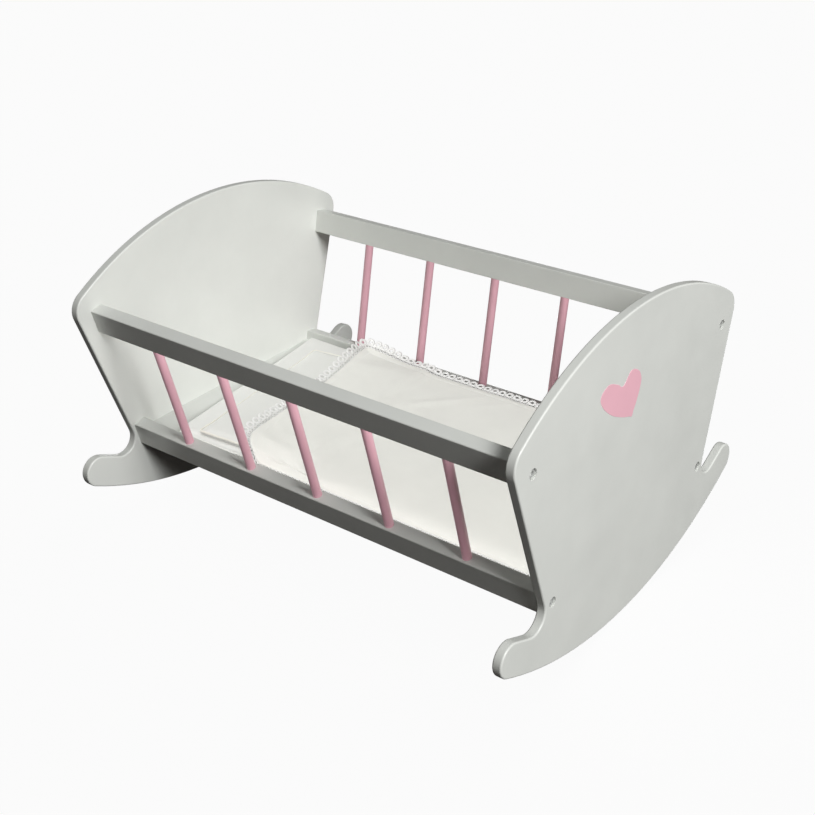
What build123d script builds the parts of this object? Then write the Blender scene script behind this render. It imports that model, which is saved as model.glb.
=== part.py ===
"""Doll's rocking cradle: two shaped end panels that stand on their own rockers, two slatted sides
that lean outwards, a base board held in grooves, and loose bedding.

Units are millimetres. X runs along the bed from the head panel (-X) to the foot panel (+X), Y runs
across it from front to back, and Z is up. The origin is on the floor under the middle of the bed,
where the rockers touch. Both sides share one section, leant outwards by the same angle.
"""
from build123d import *
from math import acos, asin, atan, atan2, cos, degrees, hypot, radians, sin, sqrt
import os

os.makedirs("parts", exist_ok=True)

# ---------------------------------------------------------------- driving dimensions
LENGTH = 500.0                 # over the outer faces of the end panels
PANEL_THICKNESS = 9.0
PANEL_HEIGHT = 298.0           # crown of the panel above the floor
CROWN_RADIUS = 317.0           # arc of the panel's top edge
SHOULDER_RADIUS = 20.0
SIDE_FOOT_Y = 111.0            # where the straight side would meet the floor
SIDE_SLOPE = 0.31              # how far that side runs outwards for each unit of height
WAIST_RADIUS = 15.0            # hollow between the side and the rocker's horn
WAIST_BOTTOM_Z = 66.0
ROCKER_RADIUS = 400.0
HORN_RADIUS = 15.5             # rounded tip of the rocker
HORN_Y = 184.5                 # middle of that tip
PANEL_EDGE_RADIUS = 1.6

RAIL_THICKNESS = 13.6
RAIL_HEIGHT = 24.4
RAIL_EDGE_RADIUS = 1.0
TOP_RAIL_Y, TOP_RAIL_Z = 156.8, 219.5
BOTTOM_RAIL_Y, BOTTOM_RAIL_Z = 126.6, 83.1

SPINDLE_DIAMETER = 8.6
SPINDLE_COUNT = 5              # on each side
SPINDLE_PITCH = 83.6
SPINDLE_SEAT = 8.0             # how deep each end sits in its rail
SPINDLE_END_GAP = 0.4          # glue space at the bottom of each blind hole
SPINDLE_HOLE_CLEARANCE = 0.1   # on the diameter
SPINDLE_END_CHAMFER = 0.6

BOARD_THICKNESS = 4.0
BOARD_TOP_Z = 86.0
BOARD_SEAT = 3.6               # how far the board's long edges enter the grooves
GROOVE_EXTRA_DEPTH = 0.6
GROOVE_CLEARANCE = 0.2         # on the height
BOARD_END_GAP = 0.2            # between the board and each end panel

SCREW_HEAD_DIAMETER = 9.0
SCREW_HEAD_HEIGHT = 2.8
SCREW_HEAD_CHAMFER = 0.4
SCREW_SHANK_DIAMETER = 4.8
SCREW_SHANK_LENGTH = 35.0
SCREW_TIP_LENGTH = 5.0
SCREW_TIP_RADIUS = 0.5
SOCKET_ACROSS_FLATS = 4.0
SOCKET_DEPTH = 2.0
COUNTERBORE_DIAMETER = 9.8
COUNTERBORE_DEPTH = 4.2
SCREW_CLEARANCE_HOLE = 5.2     # diameter through the end panels
SCREW_PILOT_HOLE = 4.2         # diameter in the rail's end grain

BED_GAP = 0.4                  # air kept between each loose piece and what it lies on
BEDDING_SKEW = 7.6             # degrees that the loose bedding has turned out of line
MATTRESS_THICKNESS = 10.0
MATTRESS_HALF_WIDTH = 117.5
MATTRESS_HEAD_X = -216.5       # head and foot edges, on the middle line of the bed
MATTRESS_FOOT_X = 219.0
MATTRESS_CORNER = 8.0
MATTRESS_EDGE = 4.0

PILLOW_THICKNESS = 6.0
PILLOW_LENGTH = 135.0
PILLOW_WIDTH = 204.0
PILLOW_CENTRE = (-116.0, -5.0)
PILLOW_CORNER = 12.0
PILLOW_EDGE = 2.6

DUVET_THICKNESS = 4.0
DUVET_HEAD_X = -131.0          # head and foot edges of the cloth, on the middle line of the bed
DUVET_FOOT_X = 224.0
DUVET_HALF_WIDTH = 113.0
DUVET_STEP_X = -32.0           # where it starts to come down off the pillow
DUVET_STEP_RUN = 22.0
LACE_WIDTH = 8.5
LACE_THICKNESS = 0.8

# ---------------------------------------------------------------- derived values
INNER_X = LENGTH / 2 - PANEL_THICKNESS
LEAN = degrees(atan2(TOP_RAIL_Y - BOTTOM_RAIL_Y, TOP_RAIL_Z - BOTTOM_RAIL_Z))
RAIL_SPACING = hypot(TOP_RAIL_Y - BOTTOM_RAIL_Y, TOP_RAIL_Z - BOTTOM_RAIL_Z)
SIDES = {"front": -1, "back": 1}
RAILS = {"top": (TOP_RAIL_Y, TOP_RAIL_Z), "bottom": (BOTTOM_RAIL_Y, BOTTOM_RAIL_Z)}
SPINDLE_X = [(i - (SPINDLE_COUNT - 1) / 2) * SPINDLE_PITCH for i in range(SPINDLE_COUNT)]
MATTRESS_BOTTOM_Z = BOARD_TOP_Z + BED_GAP
MATTRESS_TOP_Z = MATTRESS_BOTTOM_Z + MATTRESS_THICKNESS
PILLOW_BOTTOM_Z = MATTRESS_TOP_Z + BED_GAP
PILLOW_TOP_Z = PILLOW_BOTTOM_Z + PILLOW_THICKNESS


def side_up(side):
    """Direction along the spindles of one side, from the bottom rail to the top rail."""
    return (0, side * sin(radians(LEAN)), cos(radians(LEAN)))


def side_out(side):
    """Outward direction at right angles to the spindles of one side."""
    return (0, side * cos(radians(LEAN)), -sin(radians(LEAN)))


def screw_planes(end, x):
    """Planes that face outwards at x, one on the axis of each rail; end is -1 head or 1 foot."""
    return [
        Plane(origin=(end * x, side * y, z), x_dir=(0, 1, 0), z_dir=(end, 0, 0))
        for side in SIDES.values()
        for y, z in RAILS.values()
    ]


def save(part, name):
    """Label one finished piece and write it to its own file."""
    part.label = name
    export_step(part, f"parts/{name}.step")


# ---------------------------------------------------------------- end panels
# Half of the outline, from the crown to the lowest point of the rocker: every stretch is an arc or a
# straight line that runs on smoothly from the one before.
stretch = sqrt(1 + SIDE_SLOPE**2)
side_normal = -degrees(atan(SIDE_SLOPE))
crown_z = PANEL_HEIGHT - CROWN_RADIUS

# The shoulder's centre lies inside the straight side by its radius, and inside the crown arc too.
inset_y = SIDE_FOOT_Y - SHOULDER_RADIUS * stretch
quad_b = 2 * (inset_y * SIDE_SLOPE - crown_z)
quad_c = inset_y**2 + crown_z**2 - (CROWN_RADIUS - SHOULDER_RADIUS) ** 2
shoulder_z = (-quad_b + sqrt(quad_b**2 - 4 * stretch**2 * quad_c)) / (2 * stretch**2)
shoulder_y = inset_y + SIDE_SLOPE * shoulder_z
crown_end = degrees(atan2(shoulder_z - crown_z, shoulder_y))

# The waist rolls off the straight side; a straight line crosses from it to the top of the horn.
waist_z = WAIST_BOTTOM_Z + WAIST_RADIUS
waist_y = SIDE_FOOT_Y + SIDE_SLOPE * waist_z + WAIST_RADIUS * stretch
horn_reach = ROCKER_RADIUS - HORN_RADIUS
horn_z = ROCKER_RADIUS - sqrt(horn_reach**2 - HORN_Y**2)
gap_y, gap_z = HORN_Y - waist_y, horn_z - waist_z
waist_end = degrees(atan2(gap_z, gap_y) - acos((WAIST_RADIUS + HORN_RADIUS) / hypot(gap_y, gap_z)))
horn_end = degrees(asin(HORN_Y / horn_reach)) - 90

for panel_name, end in {"head_panel": -1, "foot_panel": 1}.items():
    with BuildPart() as panel:
        with BuildSketch(Plane.YZ.offset(min(end * INNER_X, end * LENGTH / 2))):
            with BuildLine():
                crown = CenterArc((0, crown_z), CROWN_RADIUS, 90, crown_end - 90)
                shoulder = CenterArc(
                    (shoulder_y, shoulder_z), SHOULDER_RADIUS, crown_end, side_normal - crown_end
                )
                waist = CenterArc(
                    (waist_y, waist_z), WAIST_RADIUS, 180 + side_normal, 180 + waist_end - side_normal
                )
                horn = CenterArc(
                    (HORN_Y, horn_z), HORN_RADIUS, 180 + waist_end, horn_end - waist_end - 180
                )
                CenterArc((0, ROCKER_RADIUS), ROCKER_RADIUS, horn_end, -90 - horn_end)
                Line(shoulder @ 1, waist @ 0)
                Line(waist @ 1, horn @ 0)
                mirror(about=Plane.YZ)
            make_face()
        extrude(amount=PANEL_THICKNESS)
        fillet(panel.faces().filter_by(Axis.X).edges(), PANEL_EDGE_RADIUS)
        with Locations(*screw_planes(end, LENGTH / 2)):
            CounterBoreHole(
                SCREW_CLEARANCE_HOLE / 2, COUNTERBORE_DIAMETER / 2, COUNTERBORE_DEPTH, PANEL_THICKNESS
            )
    save(panel.part, panel_name)

# ---------------------------------------------------------------- rails
groove_bottom_z = BOARD_TOP_Z - BOARD_THICKNESS - GROOVE_CLEARANCE / 2
groove_middle_z = BOARD_TOP_Z - BOARD_THICKNESS / 2
face_y = BOTTOM_RAIL_Y - RAIL_THICKNESS / 2 / cos(radians(LEAN))
rail_inner_y = face_y + (groove_middle_z - BOTTOM_RAIL_Z) * sin(radians(LEAN)) / cos(radians(LEAN))
board_half_width = rail_inner_y + BOARD_SEAT
groove_half_width = board_half_width + GROOVE_EXTRA_DEPTH

for side_name, side in SIDES.items():
    for level, (rail_y, rail_z) in RAILS.items():
        seat_side = -1 if level == "top" else 1
        seat_depth = SPINDLE_SEAT + SPINDLE_END_GAP
        with BuildPart() as rail:
            section = Plane((-INNER_X, side * rail_y, rail_z), x_dir=side_out(side), z_dir=(1, 0, 0))
            with BuildSketch(section):
                RectangleRounded(RAIL_THICKNESS, RAIL_HEIGHT, RAIL_EDGE_RADIUS)
            extrude(amount=2 * INNER_X)
            # Blind holes for the spindle ends, in the face that looks at the other rail.
            face = Plane((0, side * rail_y, rail_z), x_dir=(1, 0, 0), z_dir=side_up(side))
            with BuildSketch(face.offset(seat_side * RAIL_HEIGHT / 2)):
                with Locations(*[(x, 0) for x in SPINDLE_X]):
                    Circle((SPINDLE_DIAMETER + SPINDLE_HOLE_CLEARANCE) / 2)
            extrude(amount=-seat_side * seat_depth, mode=Mode.SUBTRACT)
            # Pilot holes for the screws, in both ends.
            pilot_depth = SCREW_SHANK_LENGTH + SCREW_TIP_LENGTH + COUNTERBORE_DEPTH - PANEL_THICKNESS
            for end in (-1, 1):
                mouth = Plane((end * INNER_X, side * rail_y, rail_z), z_dir=(end, 0, 0))
                with BuildSketch(mouth):
                    Circle(SCREW_PILOT_HOLE / 2)
                extrude(amount=-pilot_depth, mode=Mode.SUBTRACT)
            if level == "bottom":
                with BuildSketch(Plane.XY.offset(groove_bottom_z)):
                    Rectangle(2 * INNER_X, 2 * groove_half_width)
                extrude(amount=BOARD_THICKNESS + GROOVE_CLEARANCE, mode=Mode.SUBTRACT)
        save(rail.part, f"{side_name}_{level}_rail")

# ---------------------------------------------------------------- spindles
spindle_start = RAIL_HEIGHT / 2 - SPINDLE_SEAT
spindle_length = RAIL_SPACING - 2 * spindle_start

for side_name, side in SIDES.items():
    for number, x in enumerate(SPINDLE_X, start=1):
        foot = Plane((x, side * BOTTOM_RAIL_Y, BOTTOM_RAIL_Z), x_dir=(1, 0, 0), z_dir=side_up(side))
        with BuildPart() as spindle:
            with BuildSketch(foot.offset(spindle_start)):
                Circle(SPINDLE_DIAMETER / 2)
            extrude(amount=spindle_length)
            chamfer(spindle.edges().filter_by(GeomType.CIRCLE), SPINDLE_END_CHAMFER)
        save(spindle.part, f"{side_name}_spindle_{number}")

# ---------------------------------------------------------------- base board
with BuildPart() as base_board:
    with BuildSketch(Plane.XY.offset(BOARD_TOP_Z - BOARD_THICKNESS)):
        Rectangle(2 * (INNER_X - BOARD_END_GAP), 2 * board_half_width)
    extrude(amount=BOARD_THICKNESS)
save(base_board.part, "base_board")

# ---------------------------------------------------------------- screws
# Four in each end panel: a cylindrical head with a hexagon socket, sunk in its counterbore.
for panel_name, end in {"head_panel": -1, "foot_panel": 1}.items():
    seats = screw_planes(end, LENGTH / 2 - COUNTERBORE_DEPTH)
    with BuildPart() as screws:
        with BuildSketch(*seats):
            Circle(SCREW_HEAD_DIAMETER / 2)
        extrude(amount=SCREW_HEAD_HEIGHT)
        rims = screws.edges().filter_by(GeomType.CIRCLE).sort_by(Axis.X)
        chamfer(rims[-4:] if end > 0 else rims[:4], SCREW_HEAD_CHAMFER)
        with BuildSketch(*seats):
            Circle(SCREW_SHANK_DIAMETER / 2)
        extrude(amount=-SCREW_SHANK_LENGTH)
        shoulders = [seat.offset(-SCREW_SHANK_LENGTH) for seat in seats]
        with Locations(*[shoulder.location for shoulder in shoulders]):
            Cone(
                SCREW_TIP_RADIUS,
                SCREW_SHANK_DIAMETER / 2,
                SCREW_TIP_LENGTH,
                align=(Align.CENTER, Align.CENTER, Align.MAX),
            )
        with BuildSketch(*[seat.offset(SCREW_HEAD_HEIGHT) for seat in seats]):
            RegularPolygon(SOCKET_ACROSS_FLATS / 2, 6, major_radius=False)
        extrude(amount=-SOCKET_DEPTH, mode=Mode.SUBTRACT)
    save(screws.part, f"{panel_name}_screws")

# ---------------------------------------------------------------- bedding
# The mattress is racked: its head and foot edges are turned, and its long edges lie along the rails.
skew = sin(radians(BEDDING_SKEW)) / cos(radians(BEDDING_SKEW))
mattress_shift = MATTRESS_HALF_WIDTH * skew
with BuildPart() as mattress:
    with BuildSketch(Plane.XY.offset(MATTRESS_BOTTOM_Z)) as mattress_outline:
        Polygon(
            (MATTRESS_HEAD_X + mattress_shift, -MATTRESS_HALF_WIDTH),
            (MATTRESS_FOOT_X + mattress_shift, -MATTRESS_HALF_WIDTH),
            (MATTRESS_FOOT_X - mattress_shift, MATTRESS_HALF_WIDTH),
            (MATTRESS_HEAD_X - mattress_shift, MATTRESS_HALF_WIDTH),
            align=None,
        )
        fillet(mattress_outline.vertices(), MATTRESS_CORNER)
    extrude(amount=MATTRESS_THICKNESS)
    fillet(mattress.faces().filter_by(Axis.Z).edges(), MATTRESS_EDGE)
save(mattress.part, "mattress")

turned = (cos(radians(BEDDING_SKEW)), sin(radians(BEDDING_SKEW)), 0)
with BuildPart() as pillow:
    with BuildSketch(Plane((*PILLOW_CENTRE, PILLOW_BOTTOM_Z), x_dir=turned)):
        RectangleRounded(PILLOW_LENGTH, PILLOW_WIDTH, PILLOW_CORNER)
    extrude(amount=PILLOW_THICKNESS)
    fillet(pillow.faces().filter_by(Axis.Z).edges(), PILLOW_EDGE)
save(pillow.part, "pillow")


def bed_cover(head_x, foot_x, half_width, low, high):
    """A cover of even thickness that lies over the pillow and comes down to the mattress.

    low and high are the heights of its two faces above the surface that it lies on.
    """
    on_pillow = PILLOW_TOP_Z + BED_GAP
    on_mattress = MATTRESS_TOP_Z + BED_GAP
    reach = half_width * skew
    landing_x = DUVET_STEP_X + DUVET_STEP_RUN
    with BuildPart(mode=Mode.PRIVATE) as cover:
        with BuildSketch(Plane.XZ.offset(-half_width)):
            Polygon(
                (head_x - reach, on_pillow + low),
                (DUVET_STEP_X, on_pillow + low),
                (landing_x, on_mattress + low),
                (foot_x, on_mattress + low),
                (foot_x, on_mattress + high),
                (landing_x + high / 4, on_mattress + high),
                (DUVET_STEP_X + high / 4, on_pillow + high),
                (head_x - reach, on_pillow + high),
                align=None,
            )
        extrude(amount=2 * half_width)
        head_edge = Plane((head_x, 0, 0), x_dir=(0, 0, 1), z_dir=turned)
        split(bisect_by=head_edge, keep=Keep.TOP)
    return cover.part


duvet_cloth = bed_cover(DUVET_HEAD_X, DUVET_FOOT_X, DUVET_HALF_WIDTH, 0, DUVET_THICKNESS)
with BuildPart() as duvet:
    add(duvet_cloth)
save(duvet.part, "duvet")

lace_low = (DUVET_THICKNESS - LACE_THICKNESS) / 2
lace_sheet = bed_cover(
    DUVET_HEAD_X - LACE_WIDTH,
    DUVET_FOOT_X + LACE_WIDTH,
    DUVET_HALF_WIDTH + LACE_WIDTH,
    lace_low,
    lace_low + LACE_THICKNESS,
)
with BuildPart() as lace:
    add(lace_sheet)
    add(duvet_cloth, mode=Mode.SUBTRACT)
save(lace.part, "lace_edging")
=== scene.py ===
"""A doll's rocking cradle: finishes for the wooden frame, and its bedding, lace and painted heart.

Metres. X runs along the bed to the foot panel, Y from the front side to the back, Z up.
"""
import bisect
import math

import bpy
from mathutils import Matrix, Vector, noise


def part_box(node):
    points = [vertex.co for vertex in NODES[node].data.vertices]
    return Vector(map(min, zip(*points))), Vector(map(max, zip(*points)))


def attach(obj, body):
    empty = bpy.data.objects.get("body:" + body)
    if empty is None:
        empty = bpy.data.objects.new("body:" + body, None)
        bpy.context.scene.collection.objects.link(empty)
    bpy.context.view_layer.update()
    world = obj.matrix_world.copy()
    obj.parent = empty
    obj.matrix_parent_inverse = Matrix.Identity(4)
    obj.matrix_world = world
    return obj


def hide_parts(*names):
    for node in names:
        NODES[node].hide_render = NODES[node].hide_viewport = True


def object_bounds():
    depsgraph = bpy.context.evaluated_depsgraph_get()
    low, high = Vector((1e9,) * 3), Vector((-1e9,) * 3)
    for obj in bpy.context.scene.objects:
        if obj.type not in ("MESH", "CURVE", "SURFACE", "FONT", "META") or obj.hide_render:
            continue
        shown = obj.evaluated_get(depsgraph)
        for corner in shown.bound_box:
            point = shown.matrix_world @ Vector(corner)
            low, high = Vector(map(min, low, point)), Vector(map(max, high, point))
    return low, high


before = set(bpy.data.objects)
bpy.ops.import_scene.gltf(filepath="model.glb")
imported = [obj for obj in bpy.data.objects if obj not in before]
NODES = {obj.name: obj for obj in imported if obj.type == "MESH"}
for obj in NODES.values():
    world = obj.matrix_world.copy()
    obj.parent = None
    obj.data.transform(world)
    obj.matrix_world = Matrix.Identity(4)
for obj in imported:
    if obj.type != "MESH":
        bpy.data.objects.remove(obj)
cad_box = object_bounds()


# ---------------------------------------------------------------- node material helpers
class Shader:
    """Builds one Principled material with short calls for the nodes that it needs."""

    def __init__(self, name, **inputs):
        self.material = bpy.data.materials.new(name)
        self.material.use_nodes = True
        self.tree = self.material.node_tree
        self.bsdf = self.tree.nodes["Principled BSDF"]
        for key, value in inputs.items():
            self.bsdf.inputs[key.replace("_", " ")].default_value = value
        self.coords = self.node("ShaderNodeTexCoord").outputs["Object"]

    def node(self, kind, **settings):
        made = self.tree.nodes.new(kind)
        for key, value in settings.items():
            if key in made.inputs:
                made.inputs[key].default_value = value
            else:
                setattr(made, key, value)
        return made

    def link(self, source, target):
        self.tree.links.new(source, target)

    def scaled(self, scale):
        """Object coordinates with their own scale along each axis."""
        mapping = self.node("ShaderNodeMapping")
        mapping.inputs["Scale"].default_value = scale
        self.link(self.coords, mapping.inputs["Vector"])
        return mapping.outputs["Vector"]

    def noise(self, scale, detail=2.0, roughness=0.5, stretch=(1, 1, 1)):
        made = self.node("ShaderNodeTexNoise")
        made.inputs["Scale"].default_value = scale
        made.inputs["Detail"].default_value = detail
        made.inputs["Roughness"].default_value = roughness
        self.link(self.scaled(stretch), made.inputs["Vector"])
        return made.outputs["Fac"]

    def ramp(self, source, low, high, start=0.0, end=1.0):
        """Colour that runs from low to high while the source runs from start to end."""
        made = self.node("ShaderNodeValToRGB")
        made.color_ramp.elements[0].position = start
        made.color_ramp.elements[1].position = end
        made.color_ramp.elements[0].color = (*low, 1.0)
        made.color_ramp.elements[1].color = (*high, 1.0)
        self.link(source, made.inputs["Fac"])
        return made.outputs["Color"]

    def math(self, operation, first, second=0.0, third=0.0):
        made = self.node("ShaderNodeMath", operation=operation)
        for socket, value in zip(made.inputs, (first, second, third)):
            if isinstance(value, (int, float)):
                socket.default_value = value
            else:
                self.link(value, socket)
        return made.outputs[0]

    def spread(self, source, low, high, start=0.0, end=1.0):
        """The source's stretch from start to end, mapped to low and high."""
        made = self.node("ShaderNodeMapRange")
        limits = {"From Min": start, "From Max": end, "To Min": low, "To Max": high}
        for key, value in limits.items():
            made.inputs[key].default_value = value
        self.link(source, made.inputs["Value"])
        return made.outputs["Result"]

    def blend(self, amount, first, second):
        """Mixes two colours; the second one shows fully where the amount is 1."""
        made = self.node("ShaderNodeMix", data_type="RGBA")
        factor, colour_a, colour_b = (made.inputs[k] for k in (0, 6, 7))
        for socket, value in ((factor, amount), (colour_a, first), (colour_b, second)):
            if isinstance(value, float):
                socket.default_value = value
            elif isinstance(value, tuple):
                socket.default_value = (*value, 1.0)
            else:
                self.link(value, socket)
        return made.outputs[2]

    def colour(self, source):
        self.link(source, self.bsdf.inputs["Base Color"])

    def roughness(self, source):
        self.link(source, self.bsdf.inputs["Roughness"])

    def bump(self, *layers):
        """Stacks bumps; each layer is a height source with its strength and depth in metres."""
        normal = None
        for source, strength, depth in layers:
            made = self.node("ShaderNodeBump")
            made.inputs["Strength"].default_value = strength
            made.inputs["Distance"].default_value = depth
            self.link(source, made.inputs["Height"])
            if normal is not None:
                self.link(normal, made.inputs["Normal"])
            normal = made.outputs["Normal"]
        self.link(normal, self.bsdf.inputs["Normal"])


def finish(node, material):
    """Gives one CAD node its finish."""
    shown = NODES[node]
    if not shown.material_slots:
        shown.data.materials.append(material)
    for place in shown.material_slots:
        place.material = material


# ---------------------------------------------------------------- finishes
def edge_thin_paint_and_highlight(shader, radius, strength):
    """0 on flat faces and up to strength on the eased edges, where the paint is thinnest; it also
    places a painted highlight there.
    """
    bevel = shader.node("ShaderNodeBevel", samples=6)
    bevel.inputs["Radius"].default_value = radius
    geometry = shader.node("ShaderNodeNewGeometry")
    turned = shader.node("ShaderNodeVectorMath", operation="DOT_PRODUCT")
    shader.link(bevel.outputs["Normal"], turned.inputs[0])
    shader.link(geometry.outputs["True Normal"], turned.inputs[1])
    edge = shader.spread(turned.outputs["Value"], strength, 0.0, 0.8, 0.995)
    patches = shader.noise(90.0, 3.0, 0.6)
    return shader.math("MULTIPLY", edge, shader.spread(patches, 0.2, 1.0, 0.35, 0.65))


def lacquer(name, tone, grain=None, roughness=0.38):
    """Satin lacquer: uneven tone, spray texture, edges lightened for thin paint and a painted
    highlight, and wood grain if it is given.
    """
    shader = Shader(name, Specular_IOR_Level=0.45, Coat_Weight=0.12, Coat_Roughness=0.25)
    cloudy = shader.noise(14.0, 4.0, 0.55)
    dark = tuple(0.955 * part for part in tone)
    light = tuple(min(1.0, 1.02 * part) for part in tone)
    colour = shader.ramp(cloudy, dark, light, 0.3, 0.7)
    specks = shader.spread(shader.noise(1300.0, 1.0), 0.0, 0.06, 0.66, 0.8)
    colour = shader.blend(specks, colour, tuple(0.6 * part for part in tone))
    # eased edges painted lighter: thin paint, and partly a painted highlight
    thin_paint_and_highlight = edge_thin_paint_and_highlight(shader, 0.0012, 0.35)
    shader.colour(shader.blend(thin_paint_and_highlight, colour, tuple(min(1.0, 1.12 * part) for part in tone)))
    smears = shader.noise(38.0, 5.0, 0.65)
    shader.roughness(shader.spread(smears, roughness - 0.07, roughness + 0.09, 0.3, 0.7))
    layers = [
        (shader.noise(620.0, 2.0), 0.16, 0.00012),
        (shader.noise(45.0, 2.0), 0.10, 0.0006),
    ]
    if grain:
        layers.append((shader.noise(420.0, 4.0, 0.62, stretch=grain), 0.30, 0.00022))
    shader.bump(*layers)
    return shader.material


def zinc_plate():
    """Zinc-plated steel: a slightly mottled grey metal."""
    shader = Shader("zinc_plate", Metallic=0.6)
    cloudy = shader.noise(900.0, 3.0)
    shader.colour(shader.ramp(cloudy, (0.56, 0.57, 0.56), (0.80, 0.81, 0.79), 0.3, 0.7))
    shader.roughness(shader.spread(shader.noise(2500.0, 2.0), 0.28, 0.5, 0.3, 0.7))
    shader.bump((shader.noise(3500.0, 2.0), 0.3, 0.0001))
    return shader.material


def cotton(name, tone, pitch, bump=0.35):
    """Plain weave: threads both ways at the given pitch in metres, slubs, and uneven tone."""
    shader = Shader(name, Specular_IOR_Level=0.2, Sheen_Weight=0.25, Sheen_Roughness=0.5)
    threads = []
    for axis in ("X", "Y"):
        wave = shader.node("ShaderNodeTexWave", wave_type="BANDS", bands_direction=axis)
        wave.inputs["Scale"].default_value = math.pi / (10.0 * pitch)
        wave.inputs["Distortion"].default_value = 0.6
        wave.inputs["Detail"].default_value = 2.0
        wave.inputs["Detail Scale"].default_value = 1.5
        shader.link(shader.coords, wave.inputs["Vector"])
        threads.append(wave.outputs["Fac"])
    weave = shader.math("MULTIPLY", *threads)
    slubs = shader.noise(240.0, 3.0, 0.6, stretch=(0.25, 1.0, 1.0))
    cloudy = shader.noise(22.0, 3.0, 0.55)
    dark = tuple(0.965 * part for part in tone)
    colour = shader.ramp(cloudy, dark, tone, 0.3, 0.7)
    shade = shader.spread(weave, 0.06, 0.0, 0.0, 0.5)
    colour = shader.blend(shade, colour, tuple(0.72 * part for part in tone))
    shade = shader.spread(slubs, 0.0, 0.12, 0.55, 0.8)
    shader.colour(shader.blend(shade, colour, tuple(0.9 * part for part in tone)))
    shader.roughness(shader.spread(cloudy, 0.84, 0.95))
    creases = shader.noise(70.0, 3.0)
    shader.bump((weave, bump, 0.0002), (slubs, 0.25, 0.0002), (creases, 0.2, 0.0008))
    return shader.material


def thread(name, tone, pitch):
    """Twisted cotton thread: fine slanting strands with a little fuzz."""
    shader = Shader(name, Specular_IOR_Level=0.2, Sheen_Weight=0.3, Sheen_Roughness=0.5)
    wave = shader.node("ShaderNodeTexWave", wave_type="BANDS", bands_direction="DIAGONAL")
    wave.inputs["Scale"].default_value = math.pi / (10.0 * pitch)
    wave.inputs["Distortion"].default_value = 1.0
    shader.link(shader.coords, wave.inputs["Vector"])
    strands = wave.outputs["Fac"]
    shade = shader.spread(strands, 0.25, 0.0)
    shader.colour(shader.blend(shade, tone, tuple(0.78 * part for part in tone)))
    shader.roughness(shader.spread(shader.noise(400.0), 0.8, 0.95))
    shader.bump((strands, 0.5, 0.00015), (shader.noise(1500.0), 0.3, 0.0001))
    return shader.material


WHITE = (0.70, 0.715, 0.68)
BOARD_WHITE = (0.75, 0.765, 0.73)
PINK = (0.70, 0.39, 0.455)
HEART_PINK = (0.86, 0.49, 0.565)
ALONG_X = (0.03, 1.0, 1.0)
ALONG_Z = (1.0, 1.0, 0.03)

panel_finish = lacquer("white_lacquer_panel", WHITE)
rail_finish = lacquer("white_lacquer_rail", WHITE, grain=ALONG_X)
board_finish = lacquer("white_lacquer_board", BOARD_WHITE, roughness=0.5)
spindle_finish = lacquer("pink_lacquer", PINK, grain=ALONG_Z, roughness=0.42)
heart_finish = lacquer("pink_heart_paint", HEART_PINK, roughness=0.45)
zinc_finish = zinc_plate()
mattress_cloth = cotton("mattress_cotton", (0.80, 0.805, 0.775), 0.00055)
pillow_cloth = cotton("pillow_cotton", (0.81, 0.815, 0.78), 0.0005)
duvet_cloth = cotton("duvet_cotton", (0.90, 0.90, 0.845), 0.00045, bump=0.3)
piping_cloth = cotton("cream_piping", (0.90, 0.885, 0.80), 0.0004)
lace_thread = thread("lace_cotton", (0.93, 0.93, 0.91), 0.0005)

for node in NODES:
    if node.endswith("_panel"):
        finish(node, panel_finish)
    elif node.endswith("_rail"):
        finish(node, rail_finish)
    elif "_spindle_" in node:
        finish(node, spindle_finish)
    elif node.endswith("_screws"):
        finish(node, zinc_finish)
finish("base_board", board_finish)
finish("mattress", mattress_cloth)
finish("pillow", pillow_cloth)
finish("duvet", duvet_cloth)
finish("lace_edging", lace_thread)


# ---------------------------------------------------------------- mesh helpers
def loose_piece(name, points, faces, material):
    """A smooth-shaded mesh object that rides on nothing yet."""
    mesh = bpy.data.meshes.new(name)
    mesh.from_pydata(points, [], faces)
    mesh.update()
    mesh.materials.append(material)
    mesh.shade_smooth()
    made = bpy.data.objects.new(name, mesh)
    bpy.context.scene.collection.objects.link(made)
    return made


def carried(piece, body):
    """The piece moves with the body."""
    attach(piece, body)
    return piece


def new_piece(name, points, faces, material, body):
    """A finished piece in one call."""
    return carried(loose_piece(name, points, faces, material), body)


# ---------------------------------------------------------------- painted heart
def spline_loop(corners, steps):
    """A smooth closed curve through the corners (Catmull-Rom)."""
    loop = []
    count = len(corners)
    for i in range(count):
        before, start, end, after = (Vector(corners[(i + k) % count]) for k in (-1, 0, 1, 2))
        for step in range(steps):
            t = step / steps
            loop.append(
                0.5 * (
                    2 * start
                    + (end - before) * t
                    + (2 * before - 5 * start + 4 * end - after) * t * t
                    + (3 * start - before - 3 * end + after) * t ** 3
                )
            )
    return loop


def solid_from_outline(outline, base_x, reach, soft):
    """Points and faces of a thin slab on a plane of constant x, with a softened front rim.

    Reach is its thickness, and soft is how much its front face shrinks, as a share.
    """
    centre = sum(outline, Vector((0.0, 0.0))) / len(outline)
    rings = ((0.0, 1.0), (0.65, 1.0), (1.0, 1.0 - soft))
    points = []
    for depth, scale in rings:
        for corner in outline:
            at = centre + (corner - centre) * scale
            points.append((base_x + depth * reach, at.x, at.y))
    count = len(outline)
    faces = [tuple(reversed(range(count))), tuple(range(2 * count, 3 * count))]
    for ring in (0, 1):
        for i in range(count):
            j = (i + 1) % count
            back, front = ring * count, (ring + 1) * count
            faces.append((back + i, back + j, front + j, front + i))
    return points, faces


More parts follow.
